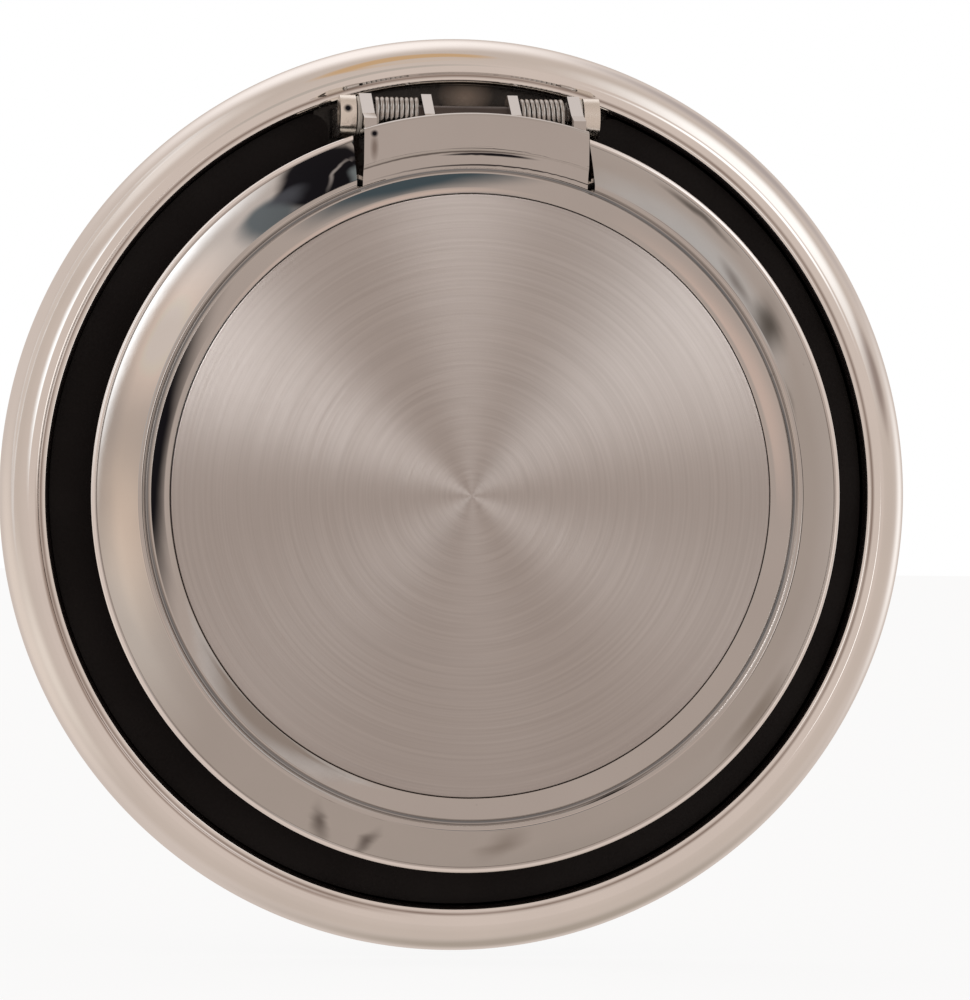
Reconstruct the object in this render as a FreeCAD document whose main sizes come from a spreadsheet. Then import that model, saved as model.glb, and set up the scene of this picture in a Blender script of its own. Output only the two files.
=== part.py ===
import FreeCAD, Part
import math
import os
import Sketcher

from FreeCAD import Placement, Rotation, Vector

# Flip-open filler cap, 127 mm across, for the deck or body panel over a filler neck.
#
# Each piece is drawn in a drawing frame whose Z runs outward along the cap's axis from the panel's
# face and whose Y points at the hinge. FACING stands that frame up, so that in the finished model the
# cap faces -Y, the hinge is at the top and X runs to the right. Heights below are drawing-frame Z.

FACING = Rotation(Vector(1, 0, 0), 90)
PIN_DIRECTION = Rotation(Vector(0, 1, 0), 90)
DIAGONAL = math.sqrt(0.5)
THROUGH = 80.0

# A screw's socket, as shares of its head's radius and height.
SOCKET_SHARE = 0.85
SOCKET_DEPTH_SHARE = 0.6

# An arc that spans a whole half circle has its radius raised by this, so that its centre can be found.
HALF_CIRCLE_MARGIN = 1e-4

DIMENSIONS = {
    # outer bezel, a hollow-backed chrome ring
    "outer_radius": 63.5,
    "bezel_back": 0.8,
    "bezel_edge_height": 1.6,
    "bezel_band_arc": 7.5,
    "bezel_shoulder_radius": 59.9,
    "bezel_shoulder_height": 6.75,
    "bezel_crest_arc": 1.36,
    "bezel_crest_radius": 58.75,
    "bezel_crest_height": 6.85,
    "bezel_inner_radius": 57.0,
    "lip_height": 6.3,
    "lip_inset": 0.15,
    "lip_width": 0.8,
    "lip_bead": 0.45,
    "bezel_wall": 1.6,
    "bezel_edge_width": 0.9,
    "hollow_height": 4.7,
    "hollow_arc": 2.9,
    "shelf_radius": 49.0,
    "shelf_top": 2.8,
    "shelf_notch": 20.5,
    # rubber gasket between bezel and panel
    "gasket_inner": 58.7,
    "gasket_outer": 61.9,
    "gasket_height": 2.0,
    "gasket_play": 0.2,
    # base housing: throat tube, floor, tower wall and flange
    "throat_radius": 20.0,
    "throat_wall": 2.5,
    "throat_bottom": -10.0,
    "throat_top": 6.5,
    "floor_bottom": -1.2,
    "floor_top": 0.8,
    "tower_inner": 44.6,
    "tower_outer": 46.6,
    "tower_top": 14.0,
    "seal_groove": 1.0,
    "seal_groove_wall": 0.5,
    "rim_seal_height": 1.4,
    "flange_radius": 57.2,
    "boss_inner": 31.0,
    "boss_outer": 36.0,
    "boss_bottom": -3.3,
    # valve seat pressed on the throat
    "seat_step": 5.0,
    "seat_bore": 21.2,
    "seat_lap": 0.6,
    "seat_outer": 23.7,
    "seat_shoulder": 8.23,
    # black channel liner
    "liner_inner": 46.8,
    "liner_outer": 56.8,
    "liner_wall": 1.6,
    "liner_top": 14.2,
    "liner_gap": 18.6,
    "liner_end_round": 2.4,
    # hinge
    "hinge_offset": 52.2,
    "hinge_height": 12.0,
    "pin_radius": 1.5,
    "pin_half_length": 17.4,
    "ear_inner": 15.8,
    "ear_thickness": 2.2,
    "ear_radius": 2.8,
    "ear_back": 53.4,
    "ear_root": 0.5,
    "lug_radius": 3.0,
    "outer_lug": 13.6,
    "outer_lug_thickness": 1.7,
    "inner_lug": 5.3,
    "inner_lug_thickness": 1.4,
    "lug_lap": 0.4,
    "lug_inset": 2.4,
    "bush_radius": 2.2,
    "bush_flange": 2.6,
    "bush_flange_thickness": 0.3,
    "running_clearance": 0.05,
    "coil_radius": 2.3,
    "coil_wire": 0.6,
    "coil_turns": 8.25,
    "coil_start": 7.3,
    "coil_end": 12.9,
    "coil_arm": 6.0,
    # lid
    "lid_radius": 51.9,
    "lid_underside": 14.9,
    "lid_bead": 0.5,
    "lid_edge_land": 0.4,
    "crown_radius": 46.0,
    "crown_height": 20.95,
    "cone_round": 34.0,
    "bead_inner": 45.15,
    "bead_round": 0.55,
    "rim_groove_inner": 44.5,
    "rim_groove_outer": 44.85,
    "rim_groove_bottom": 20.5,
    "slope_outer": 44.25,
    "slope_height": 20.85,
    "slope_inner": 42.3,
    "slope_foot": 19.95,
    "disc_radius": 41.3,
    "disc_bottom": 19.0,
    "disc_top": 19.9,
    "disc_gap": 0.1,
    "disc_bevel": 0.15,
    "plate_bottom": 17.2,
    "rib_inner": 44.9,
    "rib_outer": 46.3,
    "rib_bottom": 14.8,
    "rib_root": 17.6,
    "stud_boss_radius": 5.0,
    "stud_boss_bottom": 14.5,
    "stud_tail_radius": 2.0,
    "stud_tail_top": 18.0,
    "notch_half": 16.4,
    "notch_radius": 44.8,
    # hinge arm
    "arm_inner": 44.9,
    "arm_outer": 52.4,
    "arm_half": 15.5,
    "arm_bottom": 15.0,
    "arm_top": 21.6,
    "arm_root_width": 4.4,
    "arm_skin": 2.2,
    "arm_wall": 1.4,
    "arm_skirt": 15.6,
    "arm_edge_round": 0.9,
    "arm_crown": 60.0,
    "arm_slope_width": 2.3,
    "arm_slope_arc": 7.0,
    "arm_slope_foot": 20.3,
    "tongue_half": 12.0,
    "tongue_end": 34.5,
    # throat seal carried under the lid
    "seal_plate_radius": 28.0,
    "seal_plate_bottom": 11.0,
    "seal_plate_top": 12.0,
    "seal_inner": 18.5,
    "seal_outer": 27.0,
    "seal_bottom": 8.55,
    "seal_inner_bevel": 0.8,
    "stud_radius": 2.5,
    "stud_head_bottom": 9.95,
    "seal_coil_top": 6.6,
    "seal_coil_bottom": 13.0,
    "seal_coil_wire": 1.0,
    # bayonet lock ring and its retainer
    "lock_inner": 22.6,
    "lock_outer": 24.4,
    "lock_bottom": -14.0,
    "lock_flange_radius": 30.0,
    "lock_flange_bottom": -3.2,
    "lock_flange_top": -1.4,
    "cam_radius": 28.0,
    "cam_top": -10.5,
    "tab_radius": 16.0,
    "tab_top": -10.3,
    "tab_bottom": -13.0,
    "retainer_bore": 25.0,
    "retainer_bottom": -4.8,
    "neck_gasket_inner": 25.2,
    "neck_gasket_bottom": -6.4,
    # snap catch
    "bolt_half": 4.0,
    "bolt_bottom": 2.6,
    "bolt_top": 6.6,
    "bolt_back": -27.6,
    "bolt_nose": -35.2,
    "bolt_bevel": 1.5,
    "guide_clearance": 0.05,
    "guide_back": -25.0,
    "guide_front": -34.8,
    "guide_wall": 1.2,
    "guide_foot": 8.8,
    "guide_screw_across": 7.1,
    "guide_screw_along": -30.0,
    "bolt_bore": 1.3,
    "bolt_bore_end": -31.2,
    "catch_coil_radius": 0.95,
    "catch_coil_wire": 0.36,
    "wire_play": 0.02,
    "striker_front": -35.5,
    "striker_thickness": 1.6,
    "striker_half": 6.4,
    "striker_bottom": 1.3,
    "striker_sill": 2.4,
    "striker_head": 6.9,
    "striker_play": 0.5,
    "striker_foot_end": -42.2,
    # fasteners
    "bezel_screw_circle": 53.0,
    "bezel_screw_radius": 1.5,
    "bezel_screw_head": 2.75,
    "bezel_screw_head_height": 1.8,
    "retainer_screw_circle": 33.5,
    "retainer_screw_radius": 1.25,
    "retainer_screw_head": 2.3,
    "retainer_screw_head_height": 1.4,
    "retainer_screw_end": -0.3,
    "retainer_thread_depth": 3.4,
    "guide_screw_radius": 1.0,
    "guide_thread_depth": 1.8,
    "guide_screw_grip": 1.6,
    "guide_screw_head": 1.75,
    "guide_screw_head_height": 1.3,
    "thread_clearance": 0.02,
    "hole_clearance": 0.2,
    "arm_rivet_across": 7.5,
    "arm_rivet_along": 38.2,
    "striker_rivet_across": 3.6,
    "striker_rivet_along": -39.9,
    "rivet_radius": 1.5,
    "rivet_depth": 1.3,
    "rivet_dome": 1.0,
    "rivet_head": 0.9,
}


class Size:
    """A length together with the spreadsheet expression that it comes from."""

    def __init__(self, value, text):
        self.value = float(value)
        self.text = text

    def __neg__(self):
        return Size(-self.value, f"(-{self.text})")

    def __add__(self, other):
        other = as_size(other)
        return Size(self.value + other.value, f"({self.text} + {other.text})")

    def __sub__(self, other):
        other = as_size(other)
        return Size(self.value - other.value, f"({self.text} - {other.text})")

    def __mul__(self, other):
        other = as_size(other)
        return Size(self.value * other.value, f"({self.text} * {other.text})")


def as_size(number):
    if isinstance(number, Size):
        return number
    return Size(number, f"({float(number)!r})")


def leg(hypotenuse, side):
    """The other short side of a right-angled triangle."""
    value = math.sqrt(hypotenuse.value**2 - side.value**2)
    return Size(value, f"sqrt(({hypotenuse.text})^2 - ({side.text})^2)")


def polar(radius, degrees):
    """The point at a radius and an angle from the X axis."""
    angle = math.radians(degrees)
    return (radius * round(math.cos(angle), 6), radius * round(math.sin(angle), 6))


doc = FreeCAD.newDocument("FlipOpenFillerCap")
sheet = doc.addObject("Spreadsheet::Sheet", "dims")
size = {}
for row, (alias, number) in enumerate(DIMENSIONS.items(), start=1):
    sheet.set(f"A{row}", alias)
    sheet.set(f"B{row}", str(number))
    sheet.setAlias(f"B{row}", alias)
    size[alias] = Size(number, f"dims.{alias}")
doc.recompute()
pieces = []


def bind(target, path, length):
    """Tie a property, or one part of a placement, to a size."""
    target.setExpression(path, as_size(length).text)


def new_body(label):
    body = doc.addObject("PartDesign::Body", label)
    body.Label = label
    body.AllowCompound = True
    body.Placement = Placement(Vector(0, 0, 0), FACING)
    pieces.append(body)
    return body


def on_hinge_axis(body):
    """Turn a body so that its Z axis lies along the hinge pin."""
    body.Placement = Placement(Vector(0, 0, 0), PIN_DIRECTION)
    bind(body, ".Placement.Base.y", -size["hinge_height"])
    bind(body, ".Placement.Base.z", size["hinge_offset"])


def origin_feature(body, role):
    return [item for item in body.Origin.OriginFeatures if item.Role == role][0]


def new_sketch(body, plane, shift=(0, 0, 0)):
    """A sketch on an origin plane, moved by shift in the sketch's own directions."""
    sketch = body.newObject("Sketcher::SketchObject", f"{body.Label}_sketch")
    sketch.AttachmentSupport = [(origin_feature(body, plane), "")]
    sketch.MapMode = "FlatFace"
    for axis, length in zip("xyz", shift):
        if as_size(length).value:
            bind(sketch, f".AttachmentOffset.Base.{axis}", length)
    return sketch


def fix(sketch, kind, point, length):
    """Hold one coordinate of a point at a size, or on the sketch's axis when it is zero."""
    length = as_size(length)
    if abs(length.value) < 1e-9:
        axis = -2 if kind == "DistanceX" else -1
        sketch.addConstraint(Sketcher.Constraint("PointOnObject", *point, axis))
        return
    number = sketch.addConstraint(Sketcher.Constraint(kind, -1, 1, *point, length.value))
    sketch.setExpression(f"Constraints[{number}]", length.text)


def draw_outline(sketch, corners):
    """Draw a closed outline anticlockwise through corners (across, up) or (across, up, radius).

    The radius bends the edge that leaves the corner: outward when positive, inward when negative.
    """
    first = sketch.GeometryCount
    ends = []
    for number, corner in enumerate(corners):
        start = Vector(as_size(corner[0]).value, as_size(corner[1]).value, 0)
        following = corners[(number + 1) % len(corners)]
        stop = Vector(as_size(following[0]).value, as_size(following[1]).value, 0)
        if len(corner) == 2:
            sketch.addGeometry(Part.LineSegment(start, stop), False)
            ends.append((1, 2))
            continue
        radius = as_size(corner[2]).value
        chord = stop - start
        to_centre = math.sqrt(radius**2 - (chord.Length / 2) ** 2)
        left = Vector(-chord.y, chord.x, 0).normalize()
        centre = (start + stop) * 0.5 + left * math.copysign(to_centre, radius)
        circle = Part.Circle(centre, Vector(0, 0, 1), abs(radius))
        begin, end = (start, stop) if radius > 0 else (stop, start)
        angles = [math.atan2(p.y - centre.y, p.x - centre.x) for p in (begin, end)]
        sketch.addGeometry(Part.ArcOfCircle(circle, *angles), False)
        ends.append((1, 2) if radius > 0 else (2, 1))
    count = len(corners)
    for number in range(count):
        after = (number + 1) % count
        joined = (first + number, ends[number][1], first + after, ends[after][0])
        sketch.addConstraint(Sketcher.Constraint("Coincident", *joined))
    for number, corner in enumerate(corners):
        point = (first + number, ends[number][0])
        fix(sketch, "DistanceX", point, corner[0])
        fix(sketch, "DistanceY", point, corner[1])
        if len(corner) == 3:
            bend = as_size(corner[2])
            bend = bend if bend.value > 0 else -bend
            item = sketch.addConstraint(Sketcher.Constraint("Radius", first + number, bend.value))
            sketch.setExpression(f"Constraints[{item}]", bend.text)


def draw_circle(sketch, across, up, radius):
    centre = Vector(as_size(across).value, as_size(up).value, 0)
    number = sketch.addGeometry(Part.Circle(centre, Vector(0, 0, 1), as_size(radius).value), False)
    fix(sketch, "DistanceX", (number, 3), across)
    fix(sketch, "DistanceY", (number, 3), up)
    item = sketch.addConstraint(Sketcher.Constraint("Radius", number, as_size(radius).value))
    sketch.setExpression(f"Constraints[{item}]", as_size(radius).text)


def box_corners(left, bottom, right, top):
    return [(left, bottom), (right, bottom), (right, top), (left, top)]


def turn(body, corners, across=0, up=0):
    """Revolve an outline of (radius, height) corners about the axis through (across, up)."""
    sketch = new_sketch(body, "XZ_Plane", (across, 0, -as_size(up)))
    draw_outline(sketch, corners)
    feature = body.newObject("PartDesign::Revolution", f"{body.Label}_turn")
    feature.Profile = sketch
    feature.ReferenceAxis = (sketch, ["V_Axis"])
    feature.Angle = 360
    doc.recompute()
    return feature


def pad(body, sketch, length, centred=False):
    feature = body.newObject("PartDesign::Pad", f"{body.Label}_pad")
    feature.Profile = sketch
    feature.Midplane = centred
    bind(feature, "Length", length)
    doc.recompute()
    return feature


def cut(body, sketch, length, centred=False, toward_normal=False):
    """Pocket a sketch; with neither option set it cuts against the sketch's normal."""
    before = body.Shape.Volume
    feature = body.newObject("PartDesign::Pocket", f"{body.Label}_cut")
    feature.Profile = sketch
    feature.Midplane = centred
    feature.Reversed = toward_normal
    bind(feature, "Length", length)
    doc.recompute()
    if body.Shape.Volume >= before:
        raise RuntimeError(f"{feature.Label} removes nothing")
    return feature


def repeat_around(body, features, count):
    pattern = body.newObject("PartDesign::PolarPattern", f"{body.Label}_around")
    pattern.Originals = features
    pattern.Axis = (origin_feature(body, "Z_Axis"), [""])
    pattern.Angle = 360
    pattern.Occurrences = count
    body.Tip = pattern
    doc.recompute()
    return pattern


def mirror(body, features, plane="YZ_Plane"):
    pattern = body.newObject("PartDesign::Mirrored", f"{body.Label}_mirror")
    pattern.Originals = features
    pattern.MirrorPlane = (origin_feature(body, plane), [""])
    body.Tip = pattern
    doc.recompute()
    return pattern


def ring(label, inner, outer, bottom, top):
    """A plain flat ring."""
    body = new_body(label)
    turn(body, box_corners(inner, bottom, outer, top))
    return body


def hole(body, across, along, height, radius, depth, upward=False):
    """A round hole that starts at a height and runs down, or up, for a depth."""
    sketch = new_sketch(body, "XY_Plane", (0, 0, height))
    draw_circle(sketch, across, along, radius)
    return cut(body, sketch, depth, toward_normal=upward)


def hex_socket(body, across, along, height, flat, depth, upward):
    """A six-sided socket in the end of a screw."""
    sketch = new_sketch(body, "XY_Plane", (across, along, height))
    corner = flat * (1 / math.sqrt(3))
    draw_outline(sketch, [polar(corner, 60 * step) for step in range(6)])
    return cut(body, sketch, depth, toward_normal=upward)


def set_solid(label, shape):
    """A piece whose shape is swept along a path, which no sketch feature makes."""
    piece = doc.addObject("Part::Feature", label)
    piece.Label = label
    piece.Shape = shape
    piece.Placement = Placement(Vector(0, 0, 0), FACING)
    pieces.append(piece)


def sweep_wire(edges, start, direction, radius):
    """A round wire of a radius along a path of edges."""
    section = Part.Wire([Part.Circle(start, direction, radius).toShape()])
    return Part.Wire(edges).makePipeShell([section], True, True)


def outer_bezel():
    body = new_body("outer_bezel")
    back = size["bezel_back"]
    inner = size["bezel_inner_radius"]
    groove = inner + size["bezel_wall"]
    lip = inner + size["lip_inset"]
    recess = size["gasket_outer"] + size["gasket_play"]
    turn(
        body,
        [
            (size["shelf_radius"], back),
            (groove, back),
            (groove, size["hollow_height"], -size["hollow_arc"]),
            (recess - size["bezel_edge_width"], size["gasket_height"]),
            (recess, size["gasket_height"]),
            (recess, back),
            (size["outer_radius"], back),
            (size["outer_radius"], size["bezel_edge_height"], size["bezel_band_arc"]),
            (size["bezel_shoulder_radius"], size["bezel_shoulder_height"], size["bezel_crest_arc"]),
            (size["bezel_crest_radius"], size["bezel_crest_height"]),
            (lip + size["lip_width"] + size["lip_inset"] * 2, size["lip_height"]),
            (lip + size["lip_width"], size["lip_height"], size["lip_bead"]),
            (lip, size["lip_height"]),
            (inner, size["lip_height"] - size["lip_inset"]),
            (inner, size["shelf_top"]),
            (size["shelf_radius"], size["shelf_top"]),
        ],
    )
    notch = size["shelf_notch"]
    sketch = new_sketch(body, "XY_Plane", (0, 0, size["shelf_top"]))
    reach = leg(inner, notch)
    start = size["tower_inner"]
    draw_outline(sketch, [(-notch, start), (notch, start), (notch, reach, inner), (-notch, reach)])
    cut(body, sketch, size["shelf_top"] - back)
    centre = size["bezel_screw_circle"] * DIAGONAL
    thread = size["bezel_screw_radius"] + size["thread_clearance"]
    tapped = hole(body, centre, centre, size["shelf_top"], thread, size["shelf_top"] - back)
    repeat_around(body, [tapped], 4)


def base_housing():
    body = new_body("base_housing")
    throat = size["throat_radius"]
    tube = throat + size["throat_wall"]
    low = size["floor_bottom"]
    high = size["floor_top"]
    groove_inner = size["tower_inner"] + size["seal_groove_wall"]
    groove_outer = size["tower_outer"] - size["seal_groove_wall"]
    groove_bottom = size["tower_top"] - size["seal_groove"]
    turn(
        body,
        [
            (throat, size["throat_bottom"]),
            (tube, size["throat_bottom"]),
            (tube, low),
            (size["boss_inner"], low),
            (size["boss_inner"], size["boss_bottom"]),
            (size["boss_outer"], size["boss_bottom"]),
            (size["boss_outer"], low),
            (size["flange_radius"], low),
            (size["flange_radius"], high),
            (size["tower_outer"], high),
            (size["tower_outer"], size["tower_top"]),
            (groove_outer, size["tower_top"]),
            (groove_outer, groove_bottom),
            (groove_inner, groove_bottom),
            (groove_inner, size["tower_top"]),
            (size["tower_inner"], size["tower_top"]),
            (size["tower_inner"], high),
            (tube, high),
            (tube, size["seat_step"]),
            (size["seat_bore"], size["seat_step"]),
            (size["seat_bore"], size["throat_top"]),
            (throat, size["throat_top"]),
        ],
    )
    axis = size["hinge_offset"]
    height = size["hinge_height"]
    radius = size["ear_radius"]
    root = high - size["ear_root"]
    sketch = new_sketch(body, "YZ_Plane", (0, 0, size["ear_inner"]))
    draw_outline(
        sketch,
        [
            (axis - radius, root),
            (size["ear_back"], root),
            (size["ear_back"], height - radius),
            (axis + radius, height, radius + HALF_CIRCLE_MARGIN),
            (axis - radius, height),
        ],
    )
    ear = pad(body, sketch, size["ear_thickness"])
    mirror(body, [ear])
    sketch = new_sketch(body, "YZ_Plane")
    draw_circle(sketch, axis, height, size["pin_radius"] + size["thread_clearance"])
    cut(body, sketch, THROUGH, centred=True)
    centre = size["bezel_screw_circle"] * DIAGONAL
    clear = size["bezel_screw_radius"] + size["hole_clearance"]
    repeat_around(body, [hole(body, centre, centre, high, clear, high - low)], 4)
    centre = size["retainer_screw_circle"] * DIAGONAL
    thread = size["retainer_screw_radius"] + size["thread_clearance"]
    depth = size["retainer_thread_depth"]
    tapped = hole(body, centre, centre, size["boss_bottom"], thread, depth, upward=True)
    repeat_around(body, [tapped], 4)
    across = size["guide_screw_across"]
    along = size["guide_screw_along"]
    thread = size["guide_screw_radius"] + size["thread_clearance"]
    mirror(body, [hole(body, across, along, high, thread, size["guide_thread_depth"])])


def channel_surround():
    body = new_body("channel_surround")
    inner = size["liner_inner"]
    wall = size["liner_wall"]
    low = size["shelf_top"]
    turn(
        body,
        [
            (inner, low),
            (size["liner_outer"], low),
            (size["liner_outer"], low + wall),
            (inner + wall, low + wall),
            (inner + wall, size["liner_top"]),
            (inner, size["liner_top"]),
        ],
    )
    gap = size["liner_gap"]
    sketch = new_sketch(body, "XY_Plane")
    draw_outline(sketch, box_corners(-gap, size["boss_outer"], gap, size["outer_radius"]))
    cut(body, sketch, THROUGH, centred=True)
    corner = Vector(gap.value, leg(size["liner_outer"], gap).value, 0)
    names = []
    for number, edge in enumerate(body.Tip.Shape.Edges, start=1):
        middle = edge.CenterOfMass
        upright = abs(edge.BoundBox.ZLength - wall.value) < 1e-6
        if upright and math.hypot(abs(middle.x) - corner.x, middle.y - corner.y) < 0.01:
            names.append(f"Edge{number}")
    ends_cut = body.Tip
    fillet = body.newObject("PartDesign::Fillet", "channel_surround_round")
    fillet.Base = (ends_cut, names)
    bind(fillet, "Radius", size["liner_end_round"])
    doc.recompute()


def round_gaskets():
    body = new_body("rim_seal")
    inset = size["seal_groove_wall"] + size["running_clearance"]
    inner = size["tower_inner"] + inset
    outer = size["tower_outer"] - inset
    low = size["tower_top"] - size["seal_groove"]
    high = low + size["rim_seal_height"]
    crown = 0.6
    turn(body, [(inner, low), (outer, low), (outer, high, crown), (inner, high)])
    ring("panel_gasket", size["gasket_inner"], size["gasket_outer"], 0, size["gasket_height"])
    ring(
        "neck_gasket",
        size["neck_gasket_inner"],
        size["lock_flange_radius"],
        size["neck_gasket_bottom"],
        size["retainer_bottom"],
    )


def seat_ring():
    body = new_body("seat_ring")
    shoulder = size["seat_shoulder"]
    bore = size["seat_bore"]
    mouth = bore - size["seat_lap"]
    outer = size["seat_outer"]
    skirt = 1.4
    lip_inset = 0.95
    lip_arc = 0.6
    lip_back = 0.55
    mouth_height = 0.5
    turn(
        body,
        [
            (bore, size["seat_step"]),
            (outer, size["seat_step"]),
            (outer, size["seat_step"] + skirt),
            (outer - lip_inset, shoulder, lip_arc),
            (bore + lip_back, shoulder),
            (mouth, size["throat_top"] + mouth_height),
            (mouth, size["throat_top"]),
            (bore, size["throat_top"]),
        ],
    )


def screws(label, tip, seat):
    """Four socket screws that go in from the back, their heads below the seat height."""
    body = new_body(label)
    kind = label.removesuffix("s")
    centre = size[f"{kind}_circle"] * DIAGONAL
    shank = size[f"{kind}_radius"]
    head = size[f"{kind}_head"]
    head_height = size[f"{kind}_head_height"]
    bottom = seat - head_height
    bevel = 0.4
    outline = [
        (0, bottom),
        (head - bevel, bottom),
        (head, bottom + bevel),
        (head, seat),
        (shank, seat),
        (shank, tip - bevel),
        (shank - bevel, tip),
        (0, tip),
    ]
    solid = turn(body, outline, centre, centre)
    flat = head * SOCKET_SHARE
    socket = hex_socket(body, centre, centre, bottom, flat, head_height * SOCKET_DEPTH_SHARE, True)
    repeat_around(body, [solid, socket], 4)


def hinge_pin_and_bushes():
    body = new_body("hinge_pin")
    on_hinge_axis(body)
    half = size["pin_half_length"]
    radius = size["pin_radius"]
    bevel = 0.3
    turn(
        body,
        [
            (0, -half),
            (radius - bevel, -half),
            (radius, -half + bevel),
            (radius, half - bevel),
            (radius - bevel, half),
            (0, half),
        ],
    )
    body = new_body("hinge_bushes")
    on_hinge_axis(body)
    bore = radius + size["running_clearance"]
    end = size["outer_lug"] + size["outer_lug_thickness"]
    face = end + size["bush_flange_thickness"]
    outline = [
        (bore, size["outer_lug"]),
        (size["bush_radius"], size["outer_lug"]),
        (size["bush_radius"], end),
        (size["bush_flange"], end),
        (size["bush_flange"], face),
        (bore, face),
    ]
    mirror(body, [turn(body, outline)], "XY_Plane")


def hinge_springs():
    """Two torsion coils round the pin; one leg stands on the flange, the other lifts the arm."""
    radius = size["coil_radius"].value
    wire = size["coil_wire"].value / 2
    start = size["coil_start"].value
    end = size["coil_end"].value
    turns = size["coil_turns"].value
    axis = Vector(0, size["hinge_offset"].value, size["hinge_height"].value)
    helix = Part.makeHelix((end - start) / turns, end - start, radius)
    cycle_axes = Rotation(Vector(1, 1, 1), 120)
    helix.Placement = Placement(axis + Vector(start, 0, 0), cycle_axes)
    root = axis + Vector(start, radius, 0)
    foot = Vector(root.x, root.y, (size["floor_top"] + size["running_clearance"]).value)
    top = axis + Vector(end, 0, radius)
    tip = top - Vector(0, size["coil_arm"].value, 0)
    coil = sweep_wire(helix.Edges, root, Vector(0, 0, 1), wire)
    legs = [
        Part.makeCylinder(wire, (root - foot).Length, foot, root - foot),
        Part.makeCylinder(wire, (tip - top).Length, top, tip - top),
    ]
    spring = coil.multiFuse(legs).Solids[0]
    other = spring.mirror(Vector(0, 0, 0), Vector(1, 0, 0))
    set_solid("hinge_springs", Part.makeCompound([spring, other]))


def seal_spring():
    """A conical coil, narrow at the lid and wide on the seal plate."""
    wire = size["seal_coil_wire"].value / 2
    play = size["wire_play"].value
    low = size["seal_plate_top"].value + wire + play
    high = size["plate_bottom"].value - wire - play
    wide = size["seal_coil_bottom"].value
    narrow = size["seal_coil_top"].value
    turns = 3.5
    taper = math.atan2(wide - narrow, high - low)
    slant = (high - low) / math.cos(taper)
    helix = Part.makeHelix(slant / turns, slant, narrow, math.degrees(taper))
    helix.Placement = Placement(Vector(0, 0, high), Rotation(Vector(1, 0, 0), 180))
    start = Vector(narrow, 0, high)
    coil = sweep_wire(helix.Edges, start, Vector(0, -1, 0), wire)
    set_solid("seal_spring", coil.Solids[0])


def latch_spring():
    """The small coil between the guide's back wall and the bottom of the bolt's bore."""
    wire = size["catch_coil_wire"].value / 2
    radius = size["catch_coil_radius"].value
    play = size["wire_play"].value
    back = size["guide_back"].value - size["guide_wall"].value - wire - play
    front = size["bolt_bore_end"].value + wire + play
    turns = 6
    helix = Part.makeHelix((back - front) / turns, back - front, radius)
    height = (size["bolt_bottom"].value + size["bolt_top"].value) / 2
    helix.Placement = Placement(Vector(0, back, height), Rotation(Vector(1, 0, 0), 90))
    coil = sweep_wire(helix.Edges, Vector(radius, back, height), Vector(0, 0, 1), wire)
    set_solid("latch_spring", coil.Solids[0])


def lid_rim():
    body = new_body("lid_rim")
    plate = size["plate_bottom"]
    boss = size["stud_boss_radius"]
    tail = size["stud_tail_radius"]
    tail_bore = size["stud_tail_top"] + size["disc_gap"]
    recess = size["disc_radius"] + size["disc_gap"]
    bead = size["lid_bead"]
    edge_across = size["lid_radius"] - bead
    edge_up = size["lid_underside"] + bead
    over_across, over_up = polar(bead, 120)
    turn(
        body,
        [
            (0, tail_bore),
            (tail, tail_bore),
            (tail, size["stud_boss_bottom"]),
            (boss, size["stud_boss_bottom"]),
            (boss, plate),
            (size["rib_inner"], plate),
            (size["rib_inner"], size["rib_bottom"]),
            (size["rib_outer"], size["rib_bottom"]),
            (size["rib_outer"], size["rib_root"]),
            (edge_across - size["lid_edge_land"], size["lid_underside"]),
            (edge_across, size["lid_underside"], bead),
            (size["lid_radius"], edge_up, bead),
            (edge_across + over_across, edge_up + over_up, size["cone_round"]),
            (size["crown_radius"], size["crown_height"], size["bead_round"]),
            (size["bead_inner"], size["crown_height"]),
            (size["rim_groove_outer"], size["rim_groove_bottom"]),
            (size["rim_groove_inner"], size["rim_groove_bottom"]),
            (size["slope_outer"], size["slope_height"]),
            (size["slope_inner"], size["slope_foot"]),
            (recess, size["disc_top"] - size["disc_bevel"]),
            (recess, size["disc_bottom"]),
            (0, size["disc_bottom"]),
        ],
    )
    half = size["notch_half"]
    radius = size["notch_radius"]
    side = leg(radius, half)
    sketch = new_sketch(body, "XY_Plane")
    outline = [
        (half, side),
        (half, size["outer_radius"]),
        (-half, size["outer_radius"]),
        (-half, side, -radius),
    ]
    draw_outline(sketch, outline)
    cut(body, sketch, THROUGH, centred=True)
    rivet = size["rivet_radius"]
    depth = size["rivet_depth"]
    for prefix in ("arm", "striker"):
        across = size[f"{prefix}_rivet_across"]
        along = size[f"{prefix}_rivet_along"]
        mirror(body, [hole(body, across, along, plate, rivet, depth, upward=True)])


def lid_disc():
    body = new_body("lid_disc")
    edge = size["disc_radius"]
    low = size["disc_bottom"]
    high = size["disc_top"]
    bevel = size["disc_bevel"]
    turn(body, [(0, low), (edge, low), (edge, high - bevel), (edge - bevel, high), (0, high)])


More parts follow.
